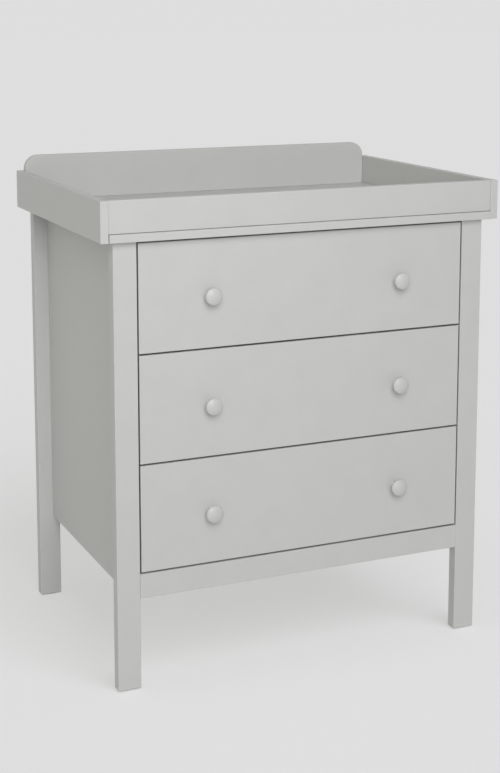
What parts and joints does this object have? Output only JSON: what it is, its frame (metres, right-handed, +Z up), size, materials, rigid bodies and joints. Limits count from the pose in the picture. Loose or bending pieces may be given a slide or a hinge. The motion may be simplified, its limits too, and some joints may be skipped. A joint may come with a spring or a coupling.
{
  "type": "changing dresser",
  "caption": "Nursery dresser on square legs, with inset drawers on round knobs and a lift-off changing tray that has a raised, round-cornered back board.",
  "frame": {"origin": "middle of the footprint at rest, on the floor", "axes": "+Z up, the drawers open towards -Y, +X to the right of someone facing the drawers"},
  "size_m": [0.86, 0.593, 1.003],
  "materials": {
    "painted_wood": "satin warm light grey paint",
    "bare_wood": "sealed pale birch",
    "faced_hardboard": "thin board with a pale facing",
    "zinc_steel": "bright zinc plate",
    "beech_dowel": "fluted beech",
    "nylon": "moulded nylon"
  },
  "bodies": {
    "cabinet": {"leg_front_left": "painted_wood", "leg_front_right": "painted_wood", "leg_back_left": "painted_wood", "leg_back_right": "painted_wood", "side_panel_left": "painted_wood", "side_panel_right": "painted_wood", "bottom_rail_front": "painted_wood", "back_rail_bottom": "bare_wood", "back_rail_top": "bare_wood", "back_panel": "faced_hardboard", "top_batten_left": "bare_wood", "top_batten_right": "bare_wood", "top_panel": "painted_wood", "frame_dowels": "beech_dowel", "foot_glides": "nylon", "batten_screws": "zinc_steel", "slide_screws": "zinc_steel", "back_panel_pins": "zinc_steel", "slide_outer_top": "zinc_steel", "slide_outer_middle": "zinc_steel", "slide_outer_bottom": "zinc_steel"},
    "drawer_top": {"drawer_front_top": "painted_wood", "drawer_side_top_left": "bare_wood", "drawer_side_top_right": "bare_wood", "drawer_back_top": "bare_wood", "drawer_bottom_top": "faced_hardboard", "knob_top_left": "painted_wood", "knob_top_right": "painted_wood", "knob_screws_top": "zinc_steel", "slide_inner_top": "zinc_steel", "slide_inner_screws_top": "zinc_steel"},
    "carriage_top": {"slide_middle_top": "zinc_steel"},
    "drawer_middle": {"drawer_front_middle": "painted_wood", "drawer_side_middle_left": "bare_wood", "drawer_side_middle_right": "bare_wood", "drawer_back_middle": "bare_wood", "drawer_bottom_middle": "faced_hardboard", "knob_middle_left": "painted_wood", "knob_middle_right": "painted_wood", "knob_screws_middle": "zinc_steel", "slide_inner_middle": "zinc_steel", "slide_inner_screws_middle": "zinc_steel"},
    "carriage_middle": {"slide_middle_middle": "zinc_steel"},
    "drawer_bottom": {"drawer_front_bottom": "painted_wood", "drawer_side_bottom_left": "bare_wood", "drawer_side_bottom_right": "bare_wood", "drawer_back_bottom": "bare_wood", "drawer_bottom_bottom": "faced_hardboard", "knob_bottom_left": "painted_wood", "knob_bottom_right": "painted_wood", "knob_screws_bottom": "zinc_steel", "slide_inner_bottom": "zinc_steel", "slide_inner_screws_bottom": "zinc_steel"},
    "carriage_bottom": {"slide_middle_bottom": "zinc_steel"},
    "changing_tray": {"tray_side_left": "painted_wood", "tray_side_right": "painted_wood", "tray_front": "painted_wood", "tray_back": "painted_wood", "tray_dowels": "beech_dowel", "tray_pegs": "beech_dowel"}
  },
  "joints": [
    {"name": "drawer_top_slide", "type": "slide", "parent": "cabinet", "child": "drawer_top", "axis": [0, -1, 0], "range_m": [0, 0.38]},
    {"name": "carriage_top_slide", "type": "slide", "parent": "cabinet", "child": "carriage_top", "axis": [0, -1, 0], "range_m": [0, 0.19]},
    {"name": "drawer_middle_slide", "type": "slide", "parent": "cabinet", "child": "drawer_middle", "axis": [0, -1, 0], "range_m": [0, 0.38]},
    {"name": "carriage_middle_slide", "type": "slide", "parent": "cabinet", "child": "carriage_middle", "axis": [0, -1, 0], "range_m": [0, 0.19]},
    {"name": "drawer_bottom_slide", "type": "slide", "parent": "cabinet", "child": "drawer_bottom", "axis": [0, -1, 0], "range_m": [0, 0.38]},
    {"name": "carriage_bottom_slide", "type": "slide", "parent": "cabinet", "child": "carriage_bottom", "axis": [0, -1, 0], "range_m": [0, 0.19]},
    {"name": "tray_lift", "type": "slide", "parent": "cabinet", "child": "changing_tray", "axis": [0, 0, 1], "range_m": [0, 0.12]}
  ],
  "couplings": [
    {"joint": "carriage_top_slide", "follows": "drawer_top_slide", "ratio": 0.5},
    {"joint": "carriage_middle_slide", "follows": "drawer_middle_slide", "ratio": 0.5},
    {"joint": "carriage_bottom_slide", "follows": "drawer_bottom_slide", "ratio": 0.5}
  ]
}
